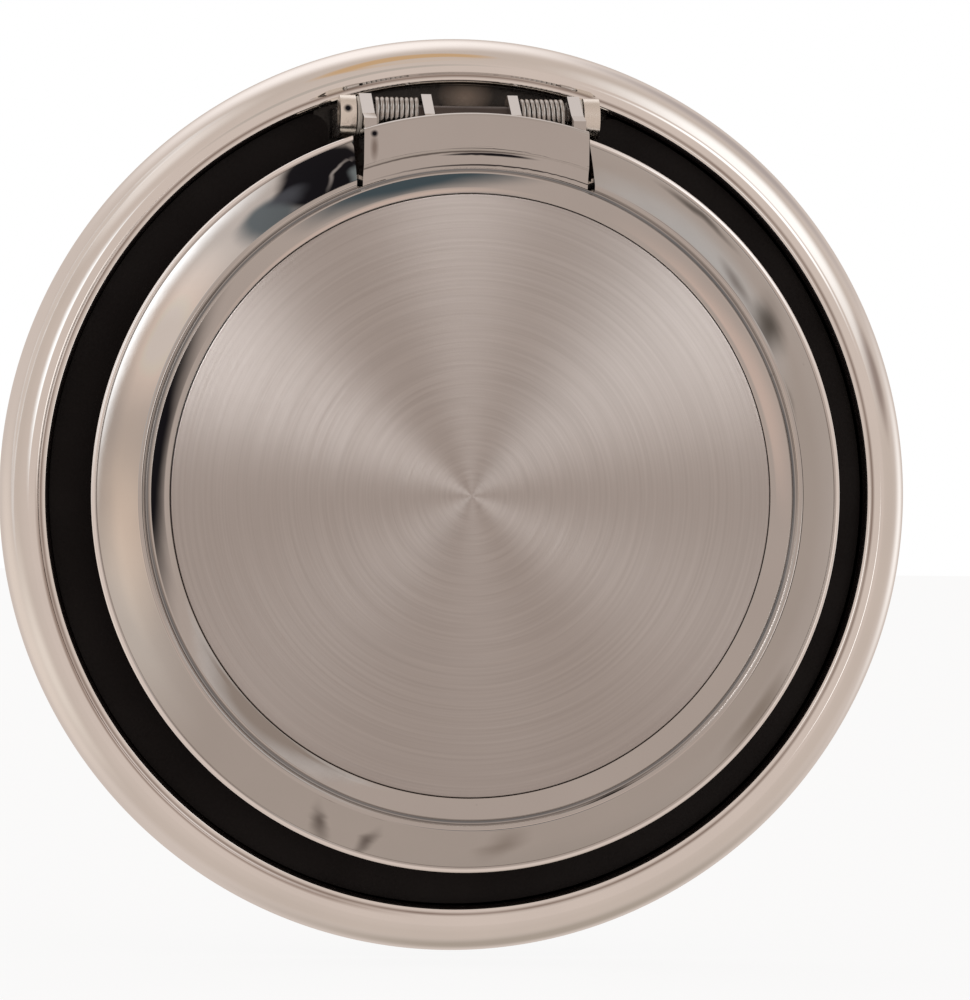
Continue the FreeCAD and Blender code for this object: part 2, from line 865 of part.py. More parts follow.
def hinge_arm():
    body = new_body("hinge_arm")
    low = size["arm_bottom"]
    high = size["arm_top"]
    inner = size["arm_inner"]
    outer = size["arm_outer"]
    root = inner + size["arm_root_width"]
    ceiling = high - size["arm_skin"]
    edge = size["arm_edge_round"]
    slope = inner + size["arm_slope_width"]
    crown_end = 0.1
    slope_drop = 0.45
    slope_round = 1.0
    turn(
        body,
        [
            (inner, low),
            (root, low),
            (root, ceiling),
            (outer - size["arm_wall"], ceiling),
            (outer - size["arm_wall"], size["arm_skirt"]),
            (outer, size["arm_skirt"]),
            (outer, high - edge, edge),
            (outer - edge, high, size["arm_crown"]),
            (slope + slope_round * 0.6, high - crown_end, slope_round),
            (slope, high - slope_drop, -size["arm_slope_arc"]),
            (inner, size["arm_slope_foot"]),
        ],
    )
    half = size["arm_half"]
    sketch = new_sketch(body, "XY_Plane")
    draw_circle(sketch, 0, 0, size["outer_radius"])
    draw_outline(sketch, box_corners(-half, size["disc_radius"], half, outer + 1))
    cut(body, sketch, THROUGH, centred=True)
    axis = size["hinge_offset"]
    height = size["hinge_height"]
    radius = size["lug_radius"]
    lug_top = ceiling + size["lug_lap"]
    lug_back = inner + size["lug_inset"]
    shoulder = 0.6
    neck = 0.1
    lug = [
        (axis - radius, height, radius + HALF_CIRCLE_MARGIN),
        (axis + radius, height),
        (axis + radius, height + shoulder),
        (outer - neck, size["plate_bottom"]),
        (outer - edge, lug_top),
        (lug_back, lug_top),
        (lug_back, low),
    ]
    for side, thickness in (("outer_lug", "outer_lug_thickness"), ("inner_lug", "inner_lug_thickness")):
        sketch = new_sketch(body, "YZ_Plane", (0, 0, size[side]))
        draw_outline(sketch, lug)
        mirror(body, [pad(body, sketch, size[thickness])])
    sketch = new_sketch(body, "XY_Plane", (0, 0, low))
    wide = size["tongue_half"]
    draw_outline(sketch, box_corners(-wide, size["tongue_end"], wide, size["rib_outer"]))
    pad(body, sketch, size["plate_bottom"] - low)
    sketch = new_sketch(body, "YZ_Plane")
    draw_circle(sketch, axis, height, size["pin_radius"] + size["running_clearance"] * 2)
    cut(body, sketch, size["coil_start"] * 2, centred=True)
    sketch = new_sketch(body, "YZ_Plane", (0, 0, size["coil_end"]))
    draw_circle(sketch, axis, height, size["bush_radius"])
    mirror(body, [cut(body, sketch, size["ear_inner"] - size["coil_end"], toward_normal=True)])
    across = size["arm_rivet_across"]
    along = size["arm_rivet_along"]
    depth = size["plate_bottom"] - low
    mirror(body, [hole(body, across, along, low, size["rivet_radius"], depth, upward=True)])


def rivets(label, prefix, seat):
    """Two rivets with domed heads below the seat height, set up into the lid's plate."""
    body = new_body(label)
    shank = size["rivet_radius"]
    head = shank + size["rivet_head"]
    dome = seat - size["rivet_dome"]
    dome_arc = 1.6
    rim = 0.1
    tip = size["plate_bottom"] + size["rivet_depth"]
    outline = [
        (0, dome),
        (size["rivet_head"], dome, dome_arc),
        (head, seat - rim),
        (head, seat),
        (shank, seat),
        (shank, tip),
        (0, tip),
    ]
    along = size[f"{prefix}_rivet_along"]
    mirror(body, [turn(body, outline, size[f"{prefix}_rivet_across"], along)])


def latch_striker():
    body = new_body("latch_striker")
    half = size["striker_half"]
    thick = size["striker_thickness"]
    front = size["striker_front"]
    plate = size["plate_bottom"]
    sketch = new_sketch(body, "YZ_Plane")
    draw_outline(
        sketch,
        [
            (front - thick, size["striker_bottom"]),
            (front, size["striker_bottom"]),
            (front, plate),
            (size["striker_foot_end"], plate),
            (size["striker_foot_end"], plate - thick),
            (front - thick, plate - thick),
        ],
    )
    pad(body, sketch, half * 2, centred=True)
    opening = size["bolt_half"] + size["striker_play"]
    sketch = new_sketch(body, "XZ_Plane", (0, 0, -front))
    draw_outline(sketch, box_corners(-opening, size["striker_sill"], opening, size["striker_head"]))
    cut(body, sketch, thick * 2, centred=True)
    across = size["striker_rivet_across"]
    along = size["striker_rivet_along"]
    mirror(body, [hole(body, across, along, plate, size["rivet_radius"], thick)])


def latch_guide():
    body = new_body("latch_guide")
    floor = size["floor_top"]
    back = size["guide_back"]
    front = size["guide_front"]
    foot = size["guide_foot"]
    wall = size["guide_wall"]
    play = size["guide_clearance"]
    channel = size["bolt_half"] + play
    top = size["bolt_top"] + wall
    sketch = new_sketch(body, "XY_Plane", (0, 0, floor))
    draw_outline(sketch, box_corners(-foot, front, foot, back))
    pad(body, sketch, size["bolt_bottom"] - play - floor)
    sketch = new_sketch(body, "XY_Plane", (0, 0, floor))
    side = channel + wall
    draw_outline(sketch, box_corners(-side, front, side, back))
    pad(body, sketch, top - floor)
    sketch = new_sketch(body, "XZ_Plane", (0, 0, -front))
    low = size["bolt_bottom"] - play
    high = size["bolt_top"] + play
    draw_outline(sketch, box_corners(-channel, low, channel, high))
    cut(body, sketch, back - wall - front)
    across = size["guide_screw_across"]
    along = size["guide_screw_along"]
    shank = size["guide_screw_radius"]
    clear = shank + size["hole_clearance"]
    mirror(body, [hole(body, across, along, low, clear, low - floor)])
    body = new_body("latch_guide_screws")
    tip = floor - size["guide_screw_grip"]
    head = size["guide_screw_head"]
    head_height = size["guide_screw_head_height"]
    head_arc = 1.5
    outline = [
        (0, tip),
        (shank, tip),
        (shank, low),
        (head, low),
        (head, low + head_height * 0.5, head_arc),
        (head * 0.5, low + head_height),
        (0, low + head_height),
    ]
    solid = turn(body, outline, across, along)
    flat = head * SOCKET_SHARE
    depth = head_height * SOCKET_DEPTH_SHARE
    socket = hex_socket(body, across, along, low + head_height, flat, depth, False)
    mirror(body, [solid, socket])


def latch_bolt():
    body = new_body("latch_bolt")
    low = size["bolt_bottom"]
    high = size["bolt_top"]
    nose = size["bolt_nose"]
    bevel = size["bolt_bevel"]
    sketch = new_sketch(body, "YZ_Plane")
    draw_outline(
        sketch,
        [
            (nose + bevel, low),
            (size["bolt_back"], low),
            (size["bolt_back"], high),
            (nose + bevel, high),
            (nose, high - bevel),
            (nose, low + bevel),
        ],
    )
    pad(body, sketch, size["bolt_half"] * 2, centred=True)
    sketch = new_sketch(body, "XZ_Plane", (0, 0, -size["bolt_back"]))
    draw_circle(sketch, 0, (low + high) * 0.5, size["bolt_bore"])
    cut(body, sketch, size["bolt_back"] - size["bolt_bore_end"], toward_normal=True)


def throat_seal():
    body = new_body("seal_stud")
    head = size["stud_boss_radius"]
    bevel = 0.4
    low = size["stud_head_bottom"]
    seat = size["seal_plate_bottom"] - size["running_clearance"]
    turn(
        body,
        [
            (0, low),
            (head - bevel, low),
            (head, low + bevel),
            (head, seat),
            (size["stud_radius"], seat),
            (size["stud_radius"], size["stud_boss_bottom"]),
            (size["stud_tail_radius"], size["stud_boss_bottom"]),
            (size["stud_tail_radius"], size["stud_tail_top"]),
            (0, size["stud_tail_top"]),
        ],
    )
    body = new_body("seal_plate")
    edge = size["seal_plate_radius"]
    low = size["seal_plate_bottom"]
    high = size["seal_plate_top"]
    bore = size["stud_radius"] + size["running_clearance"] * 2
    bevel = 0.3
    turn(body, [(bore, low), (edge, low), (edge, high - bevel), (edge - bevel, high), (bore, high)])
    body = new_body("seal_ring")
    bottom = size["seal_bottom"]
    inner = size["seal_inner"]
    outer = size["seal_outer"]
    side = 1.2
    edge_arc = 1.6
    turn(
        body,
        [
            (inner, low - side),
            (inner + size["seal_inner_bevel"], bottom),
            (outer - side, bottom, edge_arc),
            (outer, low - side),
            (outer, low),
            (inner, low),
        ],
    )


def lock_ring():
    body = new_body("lock_ring")
    inner = size["lock_inner"]
    outer = size["lock_outer"]
    turn(
        body,
        [
            (inner, size["lock_bottom"]),
            (outer, size["lock_bottom"]),
            (outer, size["lock_flange_bottom"]),
            (size["lock_flange_radius"], size["lock_flange_bottom"]),
            (size["lock_flange_radius"], size["lock_flange_top"]),
            (inner, size["lock_flange_top"]),
        ],
    )
    lap = 0.5
    blocks = (
        (outer - lap, size["cam_radius"], 20, 0, size["lock_bottom"], size["cam_top"]),
        (size["tab_radius"], inner + lap, 12, 90, size["tab_bottom"], size["tab_top"]),
    )
    for near, far, half_angle, middle, bottom, top in blocks:
        sketch = new_sketch(body, "XY_Plane", (0, 0, bottom))
        low, high = middle - half_angle, middle + half_angle
        outline = [
            polar(near, low),
            (*polar(far, low), far),
            polar(far, high),
            (*polar(near, high), -near),
        ]
        draw_outline(sketch, outline)
        repeat_around(body, [pad(body, sketch, top - bottom)], 2)


def ring_retainer():
    body = ring(
        "ring_retainer",
        size["retainer_bore"],
        size["boss_outer"],
        size["retainer_bottom"],
        size["boss_bottom"],
    )
    centre = size["retainer_screw_circle"] * DIAGONAL
    thick = size["boss_bottom"] - size["retainer_bottom"]
    clear = size["retainer_screw_radius"] + size["hole_clearance"]
    repeat_around(body, [hole(body, centre, centre, size["boss_bottom"], clear, thick)], 4)


outer_bezel()
base_housing()
channel_surround()
round_gaskets()
seat_ring()
screws("bezel_screws", size["shelf_top"] - size["hole_clearance"], size["floor_bottom"])
hinge_pin_and_bushes()
hinge_springs()
ring_retainer()
screws("retainer_screws", size["retainer_screw_end"], size["retainer_bottom"])
lock_ring()
latch_guide()
latch_bolt()
latch_spring()
lid_rim()
lid_disc()
hinge_arm()
rivets("hinge_rivets", "arm", size["arm_bottom"])
latch_striker()
rivets("striker_rivets", "striker", size["plate_bottom"] - size["striker_thickness"])
throat_seal()
seal_spring()

doc.recompute()
for item in doc.Objects:
    if "Invalid" in item.State or "Error" in item.State:
        raise RuntimeError(f"{item.Label} failed to compute: {item.State}")
for piece in pieces:
    if piece.Shape.isNull() or not piece.Shape.isValid():
        raise RuntimeError(f"{piece.Label} has no valid shape")
os.makedirs("parts", exist_ok=True)
for piece in pieces:
    piece.Shape.exportStep(f"parts/{piece.Label}.step")
    print(piece.Label, len(piece.Shape.Solids), round(piece.Shape.Volume, 1))
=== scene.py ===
import math
from collections import namedtuple

import bmesh
import bpy
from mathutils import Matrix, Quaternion, Vector


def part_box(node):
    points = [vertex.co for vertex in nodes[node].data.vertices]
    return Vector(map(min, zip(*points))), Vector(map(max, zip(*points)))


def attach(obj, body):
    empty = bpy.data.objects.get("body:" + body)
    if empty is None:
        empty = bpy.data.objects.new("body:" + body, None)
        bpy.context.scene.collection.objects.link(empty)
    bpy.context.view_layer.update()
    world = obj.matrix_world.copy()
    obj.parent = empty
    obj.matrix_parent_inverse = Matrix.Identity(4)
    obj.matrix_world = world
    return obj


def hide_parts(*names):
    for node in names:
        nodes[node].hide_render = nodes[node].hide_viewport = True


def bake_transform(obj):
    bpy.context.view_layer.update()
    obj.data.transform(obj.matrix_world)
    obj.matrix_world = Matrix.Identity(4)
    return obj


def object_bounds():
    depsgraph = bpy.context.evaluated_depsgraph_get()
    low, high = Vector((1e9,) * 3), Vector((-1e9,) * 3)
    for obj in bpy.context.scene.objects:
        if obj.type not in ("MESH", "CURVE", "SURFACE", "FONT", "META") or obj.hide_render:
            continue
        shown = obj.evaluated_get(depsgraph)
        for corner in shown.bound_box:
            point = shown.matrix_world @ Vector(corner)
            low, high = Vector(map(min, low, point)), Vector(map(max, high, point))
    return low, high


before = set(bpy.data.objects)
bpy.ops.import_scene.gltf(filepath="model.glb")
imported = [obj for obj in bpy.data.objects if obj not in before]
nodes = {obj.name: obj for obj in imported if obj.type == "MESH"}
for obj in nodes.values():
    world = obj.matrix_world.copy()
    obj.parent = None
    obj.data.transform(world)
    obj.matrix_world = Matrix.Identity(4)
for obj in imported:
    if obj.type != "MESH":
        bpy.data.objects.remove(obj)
cad_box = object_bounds()

# The cap faces -Y with its hinge at the top. Profiles are drawn in millimetres as (radius, height),
# where height runs outward from the panel plane, so height h lies at y = -h.

MM = 0.001
SEGMENTS = 360
ARC_STEP = math.radians(5)

low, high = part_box("outer_bezel")
OUTER = min(high.x, high.z, -low.x, -low.z) / MM
low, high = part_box("lid_rim")
LID = min(high.x, -low.x) / MM
LID_UNDER = 14.9
low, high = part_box("lid_disc")
DISC = high.x / MM
DISC_TOP = -low.y / MM
DISC_BOTTOM = -high.y / MM
low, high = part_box("hinge_arm")
ARM_HALF = high.x / MM
NOTCH_HALF = ARM_HALF + 0.9
PIN_AT = Vector((0, -0.012, 0.0522))


# ---------------------------------------------------------------- mesh helpers

def bent(corners):
    """Points along a closed outline of (r, h) or (r, h, bend) corners; bend arcs the edge outward."""
    points = []
    for number, corner in enumerate(corners):
        start = Vector(corner[:2])
        stop = Vector(corners[(number + 1) % len(corners)][:2])
        points.append(start)
        if len(corner) == 2:
            continue
        radius = corner[2]
        chord = stop - start
        left = Vector((-chord.y, chord.x)).normalized()
        reach = math.sqrt(radius**2 - (chord.length / 2) ** 2)
        centre = (start + stop) / 2 + left * math.copysign(reach, radius)
        sweep = 2 * math.asin(chord.length / 2 / abs(radius))
        steps = max(3, math.ceil(sweep / ARC_STEP))
        turn = math.copysign(sweep, radius)
        arm = start - centre
        for step in range(1, steps):
            angle = turn * step / steps
            cos, sin = math.cos(angle), math.sin(angle)
            points.append(centre + Vector((arm.x * cos - arm.y * sin, arm.x * sin + arm.y * cos)))
    return points


def eased(points, radius, sharper_than=25):
    """Round every corner of a closed outline that turns by more than an angle in degrees."""
    result = []
    count = len(points)
    for number, point in enumerate(points):
        before = points[number - 1] - point
        after = points[(number + 1) % count] - point
        turn = math.pi - before.angle(after, math.pi)
        if turn < math.radians(sharper_than) or point.x < 1e-6:
            result.append(point)
            continue
        back = min(radius * math.tan(turn / 2), before.length * 0.45, after.length * 0.45)
        first = point + before.normalized() * back
        last = point + after.normalized() * back
        steps = 4
        for step in range(steps + 1):
            share = step / steps
            one = first.lerp(point, share)
            two = point.lerp(last, share)
            result.append(one.lerp(two, share))
    return result


def new_piece(name, mesh_data, body, material, replaced=()):
    piece = bpy.data.objects.new(name, mesh_data)
    bpy.context.scene.collection.objects.link(piece)
    piece.data.materials.append(material)
    if body:
        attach(piece, body)
    if replaced:
        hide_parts(*replaced)
    return piece


def smooth(piece, degrees=30):
    """Smooth shading that keeps edges sharper than an angle, led by the larger faces."""
    for face in piece.data.polygons:
        face.use_smooth = True
    piece.data.set_sharp_from_angle(angle=math.radians(degrees))
    if "even" not in piece.modifiers:
        even = piece.modifiers.new("even", "WEIGHTED_NORMAL")
        even.weight = 100
        even.keep_sharp = True


def turned_mesh(name, points):
    """A closed solid of revolution about the cap's axis."""
    work = bmesh.new()
    rings = []
    for step in range(SEGMENTS):
        angle = math.tau * step / SEGMENTS
        cos, sin = math.cos(angle), math.sin(angle)
        rings.append([work.verts.new((p.x * cos * MM, -p.y * MM, p.x * sin * MM)) for p in points])
    count = len(points)
    for step in range(SEGMENTS):
        here, there = rings[step], rings[(step + 1) % SEGMENTS]
        for number in range(count):
            after = (number + 1) % count
            work.faces.new((here[number], there[number], there[after], here[after]))
    bmesh.ops.remove_doubles(work, verts=work.verts, dist=1e-7)
    bmesh.ops.dissolve_degenerate(work, edges=work.edges, dist=1e-8)
    bmesh.ops.recalc_face_normals(work, faces=work.faces)
    data = bpy.data.meshes.new(name)
    work.to_mesh(data)
    work.free()
    return data


def turned(name, points, body, material, replaced=()):
    piece = new_piece(name, turned_mesh(name, points), body, material, replaced)
    smooth(piece)
    return piece


def box_mesh(name, lowest, highest):
    work = bmesh.new()
    bmesh.ops.create_cube(work, size=1)
    size = Vector(highest) - Vector(lowest)
    middle = (Vector(highest) + Vector(lowest)) / 2
    for vert in work.verts:
        vert.co = Vector(a * b for a, b in zip(vert.co, size)) + middle
    data = bpy.data.meshes.new(name)
    work.to_mesh(data)
    work.free()
    return data


def apply_modifiers(piece):
    """Bake a piece's modifiers into its mesh."""
    graph = bpy.context.evaluated_depsgraph_get()
    baked = bpy.data.meshes.new_from_object(piece.evaluated_get(graph))
    piece.modifiers.clear()
    piece.data = baked


def carve(piece, cutter_data):
    """Cut a closed shape out of a piece."""
    cutter = bpy.data.objects.new("cutter", cutter_data)
    bpy.context.scene.collection.objects.link(cutter)
    modifier = piece.modifiers.new("carve", "BOOLEAN")
    modifier.object = cutter
    modifier.operation = "DIFFERENCE"
    modifier.solver = "EXACT"
    apply_modifiers(piece)
    bpy.data.objects.remove(cutter)


def kept_part(data, lowest, highest):
    """The part of a closed mesh that lies inside a box."""
    whole = bpy.data.objects.new("whole", data)
    bpy.context.scene.collection.objects.link(whole)
    keep = bpy.data.objects.new("keep", box_mesh("keep", lowest, highest))
    bpy.context.scene.collection.objects.link(keep)
    modifier = whole.modifiers.new("keep", "BOOLEAN")
    modifier.object = keep
    modifier.operation = "INTERSECT"
    modifier.solver = "EXACT"
    apply_modifiers(whole)
    result = whole.data
    bpy.data.objects.remove(whole)
    bpy.data.objects.remove(keep)
    return result


def tube_mesh(name, path, radius, sides=12):
    """A round wire along a list of points, with closed ends."""
    work = bmesh.new()
    rings = []
    side = None
    for number, point in enumerate(path):
        ahead = path[min(number + 1, len(path) - 1)] - path[max(number - 1, 0)]
        ahead.normalize()
        if side is None:
            side = ahead.orthogonal().normalized()
        side = (side - ahead * side.dot(ahead)).normalized()
        other = ahead.cross(side)
        ring = []
        for step in range(sides):
            angle = math.tau * step / sides
            ring.append(work.verts.new(point + (side * math.cos(angle) + other * math.sin(angle)) * radius))
        rings.append(ring)
    for here, there in zip(rings, rings[1:]):
        for step in range(sides):
            after = (step + 1) % sides
            work.faces.new((here[step], here[after], there[after], there[step]))
    work.faces.new(list(reversed(rings[0])))
    work.faces.new(rings[-1])
    bmesh.ops.recalc_face_normals(work, faces=work.faces)
    data = bpy.data.meshes.new(name)
    work.to_mesh(data)
    work.free()
    return data


# ------------------------------------------------------------------- materials

def direction(phi, off_axis):
    """The unit vector off_axis degrees from straight out of the cap, towards phi on its face."""
    phi, off = math.radians(phi), math.radians(off_axis)
    return Vector((math.sin(off) * math.cos(phi), -math.cos(off), math.sin(off) * math.sin(phi)))


Card = namedtuple("Card", "phi off wide tall tint soft turn", defaults=(0.6, 0.0))
# A soft oval in the surroundings. It lies off degrees from straight out of the cap, towards phi on its
# face. It reaches wide degrees round the cap and tall degrees away from it, turned by turn degrees, and
# the outer soft share of it fades. Laid over a material's colour, a card is a painted reflection.


class Shade:
    """A small helper that adds nodes to a material or the world, linked by value or socket."""

    def __init__(self, name):
        self.material = bpy.data.materials.new(name)
        self.material.use_nodes = True
        self.tree = self.material.node_tree
        self.tree.nodes.clear()

    @classmethod
    def on(cls, tree):
        """A helper for a node tree that belongs to no material."""
        helper = cls.__new__(cls)
        helper.tree = tree
        tree.nodes.clear()
        return helper

    def node(self, kind, inputs=(), **settings):
        made = self.tree.nodes.new("ShaderNode" + kind)
        for key, value in settings.items():
            setattr(made, key, value)
        for key, value in dict(inputs).items():
            self.feed(made.inputs[key], value)
        return made

    def feed(self, socket, value):
        if isinstance(value, bpy.types.NodeSocket):
            self.tree.links.new(value, socket)
        elif isinstance(value, (tuple, list)) and socket.type == "RGBA":
            socket.default_value = (*value, 1.0)[:4]
        else:
            socket.default_value = value

    def math(self, operation, *values):
        made = self.tree.nodes.new("ShaderNodeMath")
        made.operation = operation
        for number, value in enumerate(values):
            self.feed(made.inputs[number], value)
        return made.outputs[0]

    def dot(self, one, two):
        return self.node("VectorMath", {0: one, 1: tuple(two)}, operation="DOT_PRODUCT").outputs["Value"]

    def position(self):
        return self.node("TexCoord").outputs["Object"]

    def noise(self, vector, scale, detail=4.0, rough=0.5):
        made = self.node("TexNoise", {"Vector": vector, "Scale": scale, "Detail": detail, "Roughness": rough})
        return made.outputs["Fac"]

    def remap(self, value, from_low, from_high, to_low, to_high):
        made = self.node("MapRange", {"Value": value, "From Min": from_low, "From Max": from_high,
                                      "To Min": to_low, "To Max": to_high})
        return made.outputs["Result"]

    def mix(self, factor, one, two):
        made = self.node("Mix", data_type="RGBA")
        self.feed(made.inputs[0], factor)
        self.feed(made.inputs[6], one)
        self.feed(made.inputs[7], two)
        return made.outputs[2]

    def bump(self, height, distance, strength=1.0, normal=None):
        inputs = {"Height": height, "Distance": distance, "Strength": strength}
        if normal:
            inputs["Normal"] = normal
        return self.node("Bump", inputs).outputs["Normal"]

    def polar(self):
        """(radius in metres, angle in radians) about the cap's axis."""
        parts = self.node("SeparateXYZ", {"Vector": self.position()}).outputs
        across, up = parts["X"], parts["Z"]
        squares = self.math("ADD", self.math("MULTIPLY", across, across), self.math("MULTIPLY", up, up))
        return self.math("SQRT", squares), self.math("ARCTAN2", up, across)

    def cards(self, aim, colour, cards):
        """Lay cards over a colour, by the direction that aim points in."""
        for card in cards:
            centre = direction(card.phi, card.off)
            round_cap = direction(card.phi + 90, 90)
            away = centre.cross(round_cap)
            cos, sin = math.cos(math.radians(card.turn)), math.sin(math.radians(card.turn))
            across = (round_cap * cos + away * sin) / math.sin(math.radians(card.wide))
            along = (away * cos - round_cap * sin) / math.sin(math.radians(card.tall))
            behind = self.math("MAXIMUM", self.dot(aim, centre * -9), 0.0)
            place = {"X": self.dot(aim, across), "Y": self.dot(aim, along), "Z": behind}
            span = self.node("VectorMath", {0: self.node("CombineXYZ", place).outputs[0]}, operation="LENGTH")
            fade = self.node("MapRange", {"Value": span.outputs["Value"], "From Min": 1 - card.soft,
                                          "From Max": 1.0, "To Min": 1.0, "To Max": 0.0},
                             interpolation_type="SMOOTHSTEP")
            colour = self.mix(fade.outputs["Result"], colour, card.tint)
        return colour

    def spot(self, tone, place, reach, tint, stretch=(1.0, 0.0, 1.0), core=0.5):
        """Darken or lighten a tone round a place in millimetres; stretch scales distances on each axis."""
        offset = self.node("VectorMath", {0: self.position(), 1: tuple(place * MM)}, operation="SUBTRACT")
        offset = self.node("VectorMath", {0: offset.outputs[0], 1: stretch}, operation="MULTIPLY").outputs[0]
        away = self.node("VectorMath", {0: offset}, operation="LENGTH").outputs["Value"]
        away = self.math("ADD", away, self.math("MULTIPLY", self.noise(self.position(), 400, 2), 0.0003))
        return self.mix(self.remap(away, reach * core * MM, reach * MM, 1.0, 0.0), tone, tint)

    def surface(self, **inputs):
        names = {key.replace("_", " "): value for key, value in inputs.items()}
        bsdf = self.node("BsdfPrincipled", names)
        self.node("OutputMaterial", {"Surface": bsdf.outputs[0]})
        return self.material


def chrome(name, colour, painted_reflections=(), painted_shade_rings=(), painted_edge_highlight=None, haze=0.03, pits=0.0, dark_mark=None, black_wall=None):
    """Polished plate; painted reflections tint its colour by mirrored direction,
    and an outer edge may carry a painted highlight.

    painted_shade_rings lists (radius, half width, tint) rings of painted shade about the axis, which two more
    numbers limit to an arc about an angle; dark_mark is the place of a small dark spot with a dark run below
    it; black_wall is the (radius, height) inside and under which the wall is black. Millimetres and degrees.
    """
    shade = Shade(name)
    where = shade.position()
    smear = shade.noise(where, 60, 5)
    rough = shade.remap(smear, 0.35, 0.75, haze, haze * 2.4)
    ripple = shade.noise(where, 900, 3)
    slow = shade.noise(where, 110, 2)
    height = shade.math("ADD", shade.math("MULTIPLY", ripple, 0.12), slow)
    normal = shade.bump(height, 0.00002)
    worn = tuple(c * 0.94 for c in colour)
    tone = shade.mix(shade.remap(smear, 0.3, 0.8, 0, 1), colour, worn)
    aim = shade.node("TexCoord").outputs["Reflection"]
    wobble = shade.node("TexNoise", {"Vector": aim, "Scale": 7.0, "Detail": 2.0}).outputs["Color"]
    shift = shade.node("VectorMath", {0: wobble, 1: (0.5, 0.5, 0.5)}, operation="SUBTRACT").outputs[0]
    shift = shade.node("VectorMath", {0: shift, "Scale": 0.05}, operation="SCALE").outputs[0]
    aim = shade.node("VectorMath", {0: aim, 1: shift}, operation="ADD").outputs[0]
    # Painted reflections: the cards tint the colour by the direction the surface mirrors.
    tone = shade.cards(aim, tone, painted_reflections)
    radius, angle = shade.polar()
    # Painted shade: dark rings along the grooves, some limited to an arc.
    for ring, half, tint, *arc in painted_shade_rings:
        away = shade.math("ABSOLUTE", shade.math("SUBTRACT", radius, ring * MM))
        cover = shade.remap(away, 0.0, half * MM, 1.0, 0.0)
        cover = shade.math("MULTIPLY", cover, shade.remap(smear, 0.3, 0.6, 0.75, 1.0))
        if arc:
            phi, spread = (math.radians(a) for a in arc)
            facing = shade.math("COSINE", shade.math("SUBTRACT", angle, phi))
            cover = shade.math("MULTIPLY", cover, shade.remap(facing, math.cos(spread), 1.0, 0.0, 2.0))
            cover = shade.math("MINIMUM", cover, 1.0)
        tone = shade.mix(cover, tone, tint)
    if black_wall:
        # The tone turns black inside that radius and under that height, on the bezel's inner wall.
        outward = shade.node("SeparateXYZ", {"Vector": where}).outputs["Y"]
        inside = shade.remap(radius, (black_wall[0] + 0.03) * MM, (black_wall[0] + 0.06) * MM, 1.0, 0.0)
        under = shade.remap(outward, -black_wall[1] * MM, (0.05 - black_wall[1]) * MM, 0.0, 1.0)
        tone = shade.mix(shade.math("MULTIPLY", inside, under), tone, (0.004, 0.003, 0.003))
    if painted_edge_highlight:
        # Painted highlight: the colour turns near white outward of that radius, along the lid's outer bead.
        edge = shade.remap(radius, painted_edge_highlight * MM, (painted_edge_highlight + 0.15) * MM, 0.0, 1.0)
        tone = shade.mix(edge, tone, (1.0, 0.98, 0.97))
    if dark_mark:
        # A black spot, with a dark run below it.
        tone = shade.spot(tone, dark_mark - Vector((0, 0, 1.9)), 2.3, (0.33, 0.29, 0.27), (3.2, 0.0, 1.0), 0.3)
        tone = shade.spot(tone, dark_mark, 0.75, BLACK)
    if pits:
        cells = shade.node("TexVoronoi", {"Vector": where, "Scale": 260.0})
        dot = shade.remap(cells.outputs["Distance"], 0.0, 0.09, 1.0, 0.0)
        up = shade.node("SeparateXYZ", {"Vector": where}).outputs["Z"]
        lower = shade.remap(up, -43.0 * MM, -38.0 * MM, 0.25, 0.0)
        lower = shade.math("MULTIPLY", lower, shade.remap(radius, 44.2 * MM, 44.4 * MM, 1.0, 0.0))
        chance = shade.math("ADD", shade.noise(where, 30, 3), lower)
        spots = shade.math("MULTIPLY", dot, shade.remap(chance, 0.62 - pits, 0.66 - pits, 0.0, 1.0))
        tone = shade.mix(spots, tone, (0.08, 0.07, 0.06))
    return shade.surface(Base_Color=tone, Metallic=1.0, Roughness=rough, Normal=normal)


def brushed_disc(name):
    """Metal brushed in circles about the cap's axis."""
    shade = Shade(name)
    radius, angle = shade.polar()
    lines = shade.node("CombineXYZ", {"X": shade.math("MULTIPLY", radius, 9000.0),
                                      "Y": shade.math("MULTIPLY", shade.math("COSINE", angle), 1.2),
                                      "Z": shade.math("MULTIPLY", shade.math("SINE", angle), 1.2)}).outputs[0]
    broad = shade.node("CombineXYZ", {"X": shade.math("MULTIPLY", radius, 2500.0),
                                      "Y": shade.math("COSINE", angle),
                                      "Z": shade.math("SINE", angle)}).outputs[0]
    fine = shade.noise(lines, 1.0, 3, 0.6)
    bands = shade.noise(broad, 1.0, 3, 0.5)
    dome = shade.math("MULTIPLY", shade.math("MULTIPLY", radius, radius), -1.6)
    crowned = shade.bump(dome, 1.0)
    height = shade.math("ADD", fine, shade.math("MULTIPLY", bands, 0.6))
    normal = shade.bump(height, 0.00002, 0.5, crowned)
    tone = shade.mix(shade.remap(bands, 0.3, 0.7, 0, 1), (0.47, 0.44, 0.425), (0.53, 0.50, 0.485))
    rough = shade.remap(fine, 0.3, 0.7, 0.30, 0.42)
    tangent = shade.node("Tangent", direction_type="RADIAL", axis="Y").outputs[0]
    return shade.surface(Base_Color=tone, Metallic=1.0, Roughness=rough, Normal=normal,
                         Anisotropic=0.85, Anisotropic_Rotation=0.25, Tangent=tangent)


